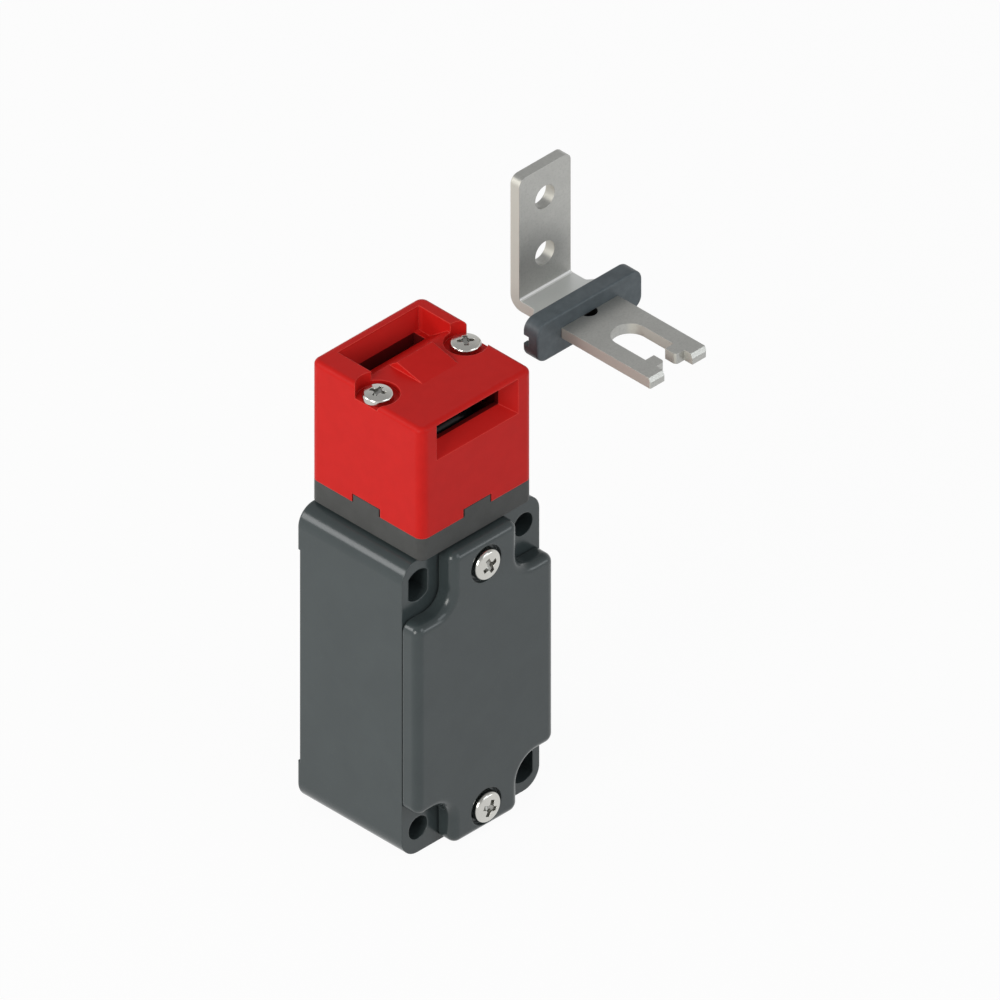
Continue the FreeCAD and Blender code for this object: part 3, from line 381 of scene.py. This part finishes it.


# each shell's edge colour is a painted highlight laid along its edges
plasticValues = {
    "headShell": {"colour": (0.590, 0.0135, 0.0110), "deep": (0.565, 0.0125, 0.0100),
                  "edge": (0.95, 0.10, 0.08), "edgeHighlightShare": 0.80,
                  "inside": (0.130, 0.0080, 0.0080), "pocket": (0.68, 0.028, 0.024),
                  "roughness": (0.38, 0.48), "grainSize": 0.16, "grainDepth": 0.003,
                  "waveSize": 3.0, "waveDepth": 0.008, "edgeRadius": 0.32, "gloss": 0.12},
    "collarShell": {"colour": (0.070, 0.071, 0.069), "deep": (0.063, 0.064, 0.062),
                    "edge": (0.10, 0.10, 0.095), "edgeHighlightShare": 0.30,
                    "roughness": (0.48, 0.60), "grainSize": 0.16, "grainDepth": 0.006,
                    "waveSize": 3.0, "waveDepth": 0.010, "edgeRadius": 0.25, "gloss": 0.20},
    "capShell": {"colour": (0.087, 0.106, 0.118), "deep": (0.070, 0.087, 0.097),
                 "edge": (0.10, 0.12, 0.13), "edgeHighlightShare": 0.35,
                 "roughness": (0.38, 0.50), "grainSize": 0.15, "grainDepth": 0.006,
                 "waveSize": 2.0, "waveDepth": 0.008, "edgeRadius": 0.25, "gloss": 0.35},
    "wheelPlastic": {"colour": (0.010, 0.010, 0.011), "deep": (0.008, 0.008, 0.009),
                     "edge": (0.02, 0.02, 0.02), "edgeHighlightShare": 0.3,
                     "roughness": (0.12, 0.18), "grainSize": 0.2, "grainDepth": 0.002,
                     "waveSize": 2.0, "waveDepth": 0.006, "edgeRadius": 0.2, "gloss": 0.35},
    "blockPlastic": {"colour": (0.62, 0.60, 0.54), "deep": (0.56, 0.54, 0.48),
                     "edge": (0.70, 0.68, 0.62), "edgeHighlightShare": 0.3,
                     "roughness": (0.42, 0.55), "grainSize": 0.2, "grainDepth": 0.006,
                     "waveSize": 3.0, "waveDepth": 0.012, "edgeRadius": 0.2, "gloss": 0.4},
    "sealRubber": {"colour": (0.028, 0.028, 0.029), "deep": (0.020, 0.020, 0.021),
                   "edge": (0.05, 0.05, 0.05), "edgeHighlightShare": 0.3,
                   "roughness": (0.65, 0.80), "grainSize": 0.25, "grainDepth": 0.010,
                   "waveSize": 2.0, "waveDepth": 0.015, "edgeRadius": 0.15, "gloss": 0.3},
}
# boxes in mm: the head's inside, where the shell is painted near black as shade, and the
# pocket round the top slot, painted paler as light
headInsideShadeBox = {"halfWidth": 13.0, "front": -12.75, "back": 14.3, "top": 101.58, "soft": 0.10}
headPocketLightBox = {"halfWidth": 12.9, "front": 12.4, "back": 14.9, "top": 107.3, "soft": 0.30}


def regionMask(tree, values):
    # 1 inside the box that the values give, 0 outside it, with a soft edge
    split = tree.add("ShaderNodeSeparateXYZ")
    tree.link(tree.place, split.inputs["Vector"])
    across = tree.math("SUBTRACT", split.outputs["X"], values.get("middle", 0.0) * mm)
    side = tree.math("ABSOLUTE", across)
    soft = values["soft"] * mm
    limits = ((side, values["halfWidth"], -1), (split.outputs["Y"], values["front"], 1),
              (split.outputs["Y"], values["back"], -1), (split.outputs["Z"], values["top"], -1))
    mask = None
    for value, limit, way in limits:
        edge = limit * mm
        if way > 0:
            part = tree.spread(value, edge, edge + soft)
        else:
            part = tree.spread(value, edge - soft, edge, 1.0, 0.0)
        mask = part if mask is None else tree.math("MULTIPLY", mask, part)
    return mask


def makePlastic(name):
    values = plasticValues[name]
    tree = FinishTree(name)
    rounded, edge = tree.edges(values["edgeRadius"])
    grain = tree.noise(values["grainSize"], 3.0)
    wave = tree.noise(values["waveSize"], 2.0)
    colour = tree.blend(tree.spread(wave, *sharedValues["blotchRange"]),
                        values["deep"], values["colour"])
    # painted highlight: the edges are lightened toward the edge colour
    colour = tree.blend(tree.math("MULTIPLY", edge, values["edgeHighlightShare"]), colour,
                        values["edge"])
    # painted shade inside the head, and painted light in the pocket round the top slot
    if "inside" in values:
        colour = tree.blend(regionMask(tree, headPocketLightBox), colour, values["pocket"])
        colour = tree.blend(regionMask(tree, headInsideShadeBox), colour, values["inside"])
    rough = tree.spread(grain, *sharedValues["grainRange"], *values["roughness"])
    normal = tree.bump(wave, values["waveDepth"], rounded)
    normal = tree.bump(grain, values["grainDepth"], normal)
    return tree.finish(colour, rough, normal=normal,
                       **{"Specular IOR Level": values["gloss"]})


# boxes in mm: round the small hole in the key, painted as shade, round its plate from the cap to
# the bend, painted as light, and round the inner corner of the bend, painted as a highlight
keyHoleShadeBox = {"middle": 42.1, "halfWidth": 2.1, "front": -7.7, "back": -3.4, "top": 101.08,
           "soft": 0.05}
keyPlateLightBox = {"middle": 42.1, "halfWidth": 16.5, "front": -1.9, "back": 7.0, "top": 101.6,
           "soft": 0.3}
keyFoldHighlightBox = {"middle": 42.1, "halfWidth": 7.25, "front": 6.2, "back": 7.1, "top": 101.75,
           "soft": 0.08}
metalValues = {
    "cloudSize": 4.0, "cloudShade": 0.92,       # mm and share of the colour, for all metals
    "screwSteel": {"colour": (0.60, 0.595, 0.56), "roughness": (0.12, 0.22),
                   "scratch": (0.05, 0.05, 1.2), "depth": 0.0015, "edgeRadius": 0.10,
                   "recess": (0.10, 0.10, 0.10)},
    "springSteel": {"colour": (0.50, 0.50, 0.50), "roughness": (0.20, 0.32),
                    "scratch": (0.1, 0.1, 0.6), "depth": 0.002, "edgeRadius": 0.08},
    "keySteel": {"colour": (0.468, 0.468, 0.446), "roughness": (0.34, 0.46),
                 "metallic": 0.72, "mottleSize": 0.45, "mottleShade": 0.80,
                 "mottleRange": (0.45, 0.70), "mottleShare": 0.6,
                 "scratch": (0.05, 1.0, 1.0), "depth": 0.0008, "edgeRadius": 0.14,
                 "shearColour": (0.555, 0.545, 0.495), "shearRough": 0.55,
                 "shearRange": (0.55, 0.75), "boreRange": (0.3, 0.6),
                 "levelRange": (0.05, 0.3),
                 "holeShade": (0.012, 0.012, 0.013), "plateLightColour": (0.72, 0.735, 0.72),
                 "foldHighlightColour": (0.98, 0.98, 0.97), "foldRough": 0.30},
    "guideBrass": {"colour": (0.72, 0.53, 0.26), "roughness": (0.18, 0.30),
                   "scratch": (0.5, 0.5, 0.06), "depth": 0.003, "edgeRadius": 0.12},
    "contactMetal": {"colour": (0.70, 0.62, 0.50), "roughness": (0.22, 0.34),
                     "scratch": (0.6, 0.08, 0.08), "depth": 0.002, "edgeRadius": 0.08},
}


def makeMetal(name):
    values = metalValues[name]
    tree = FinishTree(name)
    rounded = tree.edges(values["edgeRadius"])[0]
    streak = tree.noise(1.0, 4.0, vector=tree.stretched(
        tuple(step * mm for step in values["scratch"])))
    cloud = tree.noise(metalValues["cloudSize"], 3.0)
    rough = tree.spread(streak, *sharedValues["grainRange"], *values["roughness"])
    tint = tuple(metalValues["cloudShade"] * part for part in values["colour"])
    colour = tree.blend(tree.spread(cloud, *sharedValues["grainRange"]), tint,
                        values["colour"])
    if "mottleSize" in values:
        # the rolled sheet's fine mottling
        mottle = tree.spread(tree.noise(values["mottleSize"], 2.0), *values["mottleRange"],
                             0.0, values["mottleShare"])
        dark = tuple(values["mottleShade"] * part for part in values["colour"])
        colour = tree.blend(mottle, colour, dark)
    if "recess" in values:
        # painted shade: the screws' own attribute darkens the cross recess and the head's side
        # toward the recess colour
        depth = tree.add("ShaderNodeAttribute", attribute_name="recessDepth")
        colour = tree.blend(depth.outputs["Fac"], colour, values["recess"])
    if "shearColour" in values:
        # the cut edges that face sideways are rougher and paler than the rolled faces
        split = tree.add("ShaderNodeSeparateXYZ")
        tree.link(tree.add("ShaderNodeNewGeometry").outputs["Normal"], split.inputs["Vector"])
        cut = tree.spread(tree.math("ABSOLUTE", split.outputs["X"]), *values["shearRange"])
        colour = tree.blend(cut, colour, values["shearColour"])
        rough = tree.mixed(cut, rough, values["shearRough"])
        # painted light: the plate behind the cap is painted paler where it faces up, and the
        # inner corner of the bend carries a painted white highlight
        level = tree.spread(split.outputs["Z"], *values["levelRange"])
        plateLight = tree.math("MULTIPLY", level, regionMask(tree, keyPlateLightBox))
        colour = tree.blend(plateLight, colour, values["plateLightColour"])
        # painted highlight along the inner corner of the bend
        foldHighlight = tree.math("MULTIPLY", level, regionMask(tree, keyFoldHighlightBox))
        colour = tree.blend(foldHighlight, colour, values["foldHighlightColour"])
        rough = tree.mixed(foldHighlight, rough, values["foldRough"])
        # painted shade: the upright walls of the small hole under the cap are painted near black
        upright = tree.spread(tree.math("ABSOLUTE", split.outputs["Z"]),
                              *values["boreRange"], 1.0, 0.0)
        holeShade = tree.math("MULTIPLY", upright, regionMask(tree, keyHoleShadeBox))
        colour = tree.blend(holeShade, colour, values["holeShade"])
    normal = tree.bump(streak, values["depth"], rounded)
    return tree.finish(colour, rough, metallic=values.get("metallic", 1.0), normal=normal)


finishOfSlot = {
    "painted_body": makePaint(paintValues),
    "collar_plastic": makePlastic("collarShell"),
    "head_plastic": makePlastic("headShell"),
    "cap_plastic": makePlastic("capShell"),
    "cam_plastic": makePlastic("wheelPlastic"),
    "block_plastic": makePlastic("blockPlastic"),
    "seal_rubber": makePlastic("sealRubber"),
    "screw_steel": makeMetal("screwSteel"),
    "spring_steel": makeMetal("springSteel"),
    "key_steel": makeMetal("keySteel"),
    "guide_brass": makeMetal("guideBrass"),
    "contact_metal": makeMetal("contactMetal"),
}
for row in frame["record"]["subparts"]:
    dress(row["node"], finishOfSlot[row["material_slot"]])


sharpAngle = 38.0               # degrees, past which an edge stays sharp


def gridPiece(name, points, slotName, recessDepth=None):
    # points[row, column] is a grid of places in mm, closed round its columns, and its first
    # and last rows are closed by a face each
    rows, columns = points.shape[:2]
    index = np.arange(rows * columns).reshape(rows, columns)
    beside = np.roll(index, -1, axis=1)
    quads = np.stack([index[:-1], index[1:], beside[1:], beside[:-1]], axis=-1).reshape(-1, 4)
    faces = quads.tolist() + [index[0].tolist(), index[-1][::-1].tolist()]
    mesh = bpy.data.meshes.new(name)
    mesh.from_pydata((points.reshape(-1, 3) * mm).tolist(), [], faces)
    mesh.polygons.foreach_set("use_smooth", np.ones(len(mesh.polygons), dtype=bool))
    mesh.set_sharp_from_angle(angle=math.radians(sharpAngle))
    if recessDepth is not None:
        layer = mesh.attributes.new("recessDepth", "FLOAT", "POINT")
        layer.data.foreach_set("value", recessDepth.reshape(-1).astype(np.float32))
    mesh.materials.append(finishOfSlot[slotName])
    piece = bpy.data.objects.new(name, mesh)
    scene.collection.objects.link(piece)
    return piece


screwValues = {
    "columns": 160, "headRows": 76, "edgeRows": 12, "threadStep": 0.11,
    # mm, but sideShare is a share of the head's height, and sideShade a share of the recess's
    # painted shade, laid on the head's side
    "coverScrew": {"headHeight": 2.4, "sideShare": 0.50, "edgeWidth": 0.72, "domeDrop": 0.28,
                   "sideShade": 0.06, "shankRadius": 2.0, "threadPitch": 0.7,
                   "threadDepth": 0.28, "threadLength": 6.0},
    "headScrew": {"headHeight": 1.8, "sideShare": 0.46, "edgeWidth": 0.60, "domeDrop": 0.24,
                  "sideShade": 0.10, "shankRadius": 1.75, "threadPitch": 0.7,
                  "threadDepth": 0.26, "threadLength": 9.0},
    # shares of the head's radius and height, but wallWidth in mm
    "recess": {"wingLength": 0.54, "wingHalfWidth": 0.150, "centre": 0.28, "depth": 0.62,
               "floorRise": 0.55, "wallWidth": 0.07, "shade": 0.50},
    # mm: the head's first ring and its under edge, the neck, and the ends of the thread
    "firstRing": 0.02, "underInset": 0.12, "underRise": 0.14, "neckFlare": 0.25,
    "neckDrop": 0.3, "threadFade": 0.8, "threadStop": 0.6, "tipLength": 0.35,
    "tipInset": 0.65,
    # piece: (kind, turn of the recess in degrees, way the head faces)
    "screws": {
        "cover_screw_top": ("coverScrew", 22.0, "front"),
        "cover_screw_bottom": ("coverScrew", 64.0, "front"),
        "head_screw_left": ("headScrew", 20.0, "up"),
        "head_screw_right": ("headScrew", 52.0, "up"),
    },
}


def screwGrid(kind, turn, headRadius, length):
    # A lathe grid from the middle of the head, over its edge and down the shank to the tip.
    # The recess is a distance to a cross of two bars and a turned square. The thread is a
    # radius that falls and rises with height less the turn round the axis.
    values = screwValues[kind]
    cross = screwValues["recess"]
    columns = screwValues["columns"]
    angle = np.linspace(0, 2 * np.pi, columns, endpoint=False)[None, :]
    height = values["headHeight"]
    flat = headRadius - values["edgeWidth"]

    ones = np.ones((1, columns))
    radius = np.linspace(screwValues["firstRing"], flat,
                         screwValues["headRows"])[:, None] * ones
    dome = height - values["domeDrop"] * (radius / flat) ** 2
    x = np.abs(radius * np.cos(angle - math.radians(turn)))
    y = np.abs(radius * np.sin(angle - math.radians(turn)))
    wing = cross["wingLength"] * headRadius
    half = cross["wingHalfWidth"] * headRadius
    gap = np.minimum(np.maximum(x - wing, y - half), np.maximum(y - wing, x - half))
    gap = np.minimum(gap, (x + y) / math.sqrt(2) - cross["centre"] * headRadius)
    wall = np.clip(-gap / cross["wallWidth"], 0, 1)
    floor = cross["depth"] * height * (1 - cross["floorRise"] * np.clip(radius / wing, 0, 1))
    topZ = dome - wall * floor
    # painted shade in the cross recess, full where its walls have fallen
    shade = wall * cross["shade"]

    bend = np.linspace(0, np.pi / 2, screwValues["edgeRows"])[1:, None]
    sideTop = height * values["sideShare"]
    edgeTop = height - values["domeDrop"]
    edgeR = (flat + values["edgeWidth"] * np.sin(bend)) * ones
    edgeZ = (edgeTop - (edgeTop - sideTop) * (1 - np.cos(bend))) * ones
    lowR = np.array([[headRadius], [headRadius - screwValues["underInset"]],
                     [values["shankRadius"] + screwValues["neckFlare"]]])
    lowZ = np.array([[screwValues["underRise"]], [0.0], [0.0]])

    shank = length - height
    startThread = shank - values["threadLength"]
    rings = np.arange(startThread, shank - screwValues["threadStop"],
                      screwValues["threadStep"])
    down = np.concatenate([[screwValues["neckDrop"]], rings,
                           [shank - screwValues["tipLength"], shank]])[:, None]
    saw = np.abs(((down / values["threadPitch"] - angle / (2 * np.pi)) % 1.0) * 2 - 1)
    grown = np.clip((down - startThread) / screwValues["threadFade"], 0, 1)
    shankR = values["shankRadius"] - values["threadDepth"] * saw * grown
    shankR[-1] = values["shankRadius"] - screwValues["tipInset"]

    allR = np.concatenate([radius, edgeR, lowR * ones, shankR])
    allZ = np.concatenate([topZ, edgeZ, lowZ * ones, -down * ones])
    # painted shade also over the head's edge and side, rising across the edge rows
    rim = np.linspace(0, values["sideShade"], len(edgeR))[:, None] * ones
    rest = np.full((len(allR) - len(shade) - len(rim), columns), values["sideShade"])
    shadeAll = np.concatenate([shade, rim, rest])
    grid = np.stack([allR * np.cos(angle), allR * np.sin(angle), allZ], axis=-1)
    return grid, shadeAll


def makeScrews():
    for node, (kind, turn, way) in screwValues["screws"].items():
        low, high = (np.array(corner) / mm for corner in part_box(node))
        middle = (low + high) / 2
        length = (high - low)[2 if way == "up" else 1]
        grid, shade = screwGrid(kind, turn, (high[0] - low[0]) / 2, length)
        seat = screwValues[kind]["headHeight"]
        if way == "up":
            points = grid + np.array([middle[0], middle[1], high[2] - seat])
        else:
            points = np.stack([grid[..., 0] + middle[0], low[1] + seat - grid[..., 2],
                               grid[..., 1] + middle[2]], axis=-1)
        words = node.split("_")
        piece = gridPiece(words[0] + "Screw" + words[2].capitalize(), points,
                          "screw_steel", recessDepth=shade)
        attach(piece, "switch")
        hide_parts(node)


makeScrews()
print("stage: four screws with cross recesses and threads")


conduitThreadValues = {         # mm
    "boreRadius": 9.2, "buried": 0.18, "rise": 0.34, "halfWidth": 0.62, "crest": 0.10,
    "pitch": 1.5, "low": 1.0, "high": 13.0, "stepsPerTurn": 96, "fadeTurns": 0.4,
    "leastFade": 0.02,          # the ridge's share that is left at its very ends
}


def makeConduitThread(values):
    # A ridge of four corners carried along a helix up the bore, its height fading in
    # and out over the first and last part of a turn.
    turns = (values["high"] - values["low"]) / values["pitch"]
    step = np.linspace(0, turns, int(turns * values["stepsPerTurn"]))[:, None]
    fade = np.clip(np.minimum(step, turns - step) / values["fadeTurns"],
                   values["leastFade"], 1)
    base = values["boreRadius"] + values["buried"]
    tip = values["boreRadius"] - values["rise"] * fade
    radius = np.concatenate([base + 0 * step, tip, tip, base + 0 * step], axis=1)
    crest = values["crest"] / values["halfWidth"]
    offset = np.array([[-1.0, -crest, crest, 1.0]])
    z = values["low"] + step * values["pitch"] + offset * values["halfWidth"] * fade
    angle = step * 2 * np.pi
    points = np.stack([radius * np.cos(angle), radius * np.sin(angle), z], axis=-1)
    piece = gridPiece("conduitThread", points[:, ::-1], "painted_body")
    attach(piece, "switch")


makeConduitThread(conduitThreadValues)
print("stage: conduit thread")


returnSpringValues = {          # mm
    "coilRadius": 3.75, "wireRadius": 0.39, "low": 57.0, "high": 64.88,
    "openTurns": 5.0, "closedTurns": 1.0, "stepsPerTurn": 72, "wireColumns": 14,
    "stroke": 3.5,              # how far the plunger presses it
}


def makeReturnSpring(values):
    # A round wire round a helix. Its height rises by one wire's thickness over each closed
    # end turn, and evenly over the open turns between them.
    wire, closed = values["wireRadius"], values["closedTurns"]
    turns = values["openTurns"] + 2 * closed
    step = np.linspace(0, turns, int(turns * values["stepsPerTurn"]))[:, None]
    bottom, top = values["low"] + wire, values["high"] - wire
    endRise = 2 * wire * closed
    z = np.interp(step[:, 0], [0, closed, turns - closed, turns],
                  [bottom, bottom + endRise, top - endRise, top])[:, None]
    angle = step * 2 * np.pi
    around = np.linspace(0, -2 * np.pi, values["wireColumns"], endpoint=False)[None, :]
    radius = values["coilRadius"] + wire * np.cos(around)
    points = np.stack([radius * np.cos(angle), radius * np.sin(angle),
                       z - wire * np.sin(around)], axis=-1)
    piece = gridPiece("returnSpring", points, "spring_steel")
    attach(piece, "switch")
    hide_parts("return_spring")
    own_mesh(piece)


makeReturnSpring(returnSpringValues)
print("stage: return spring")
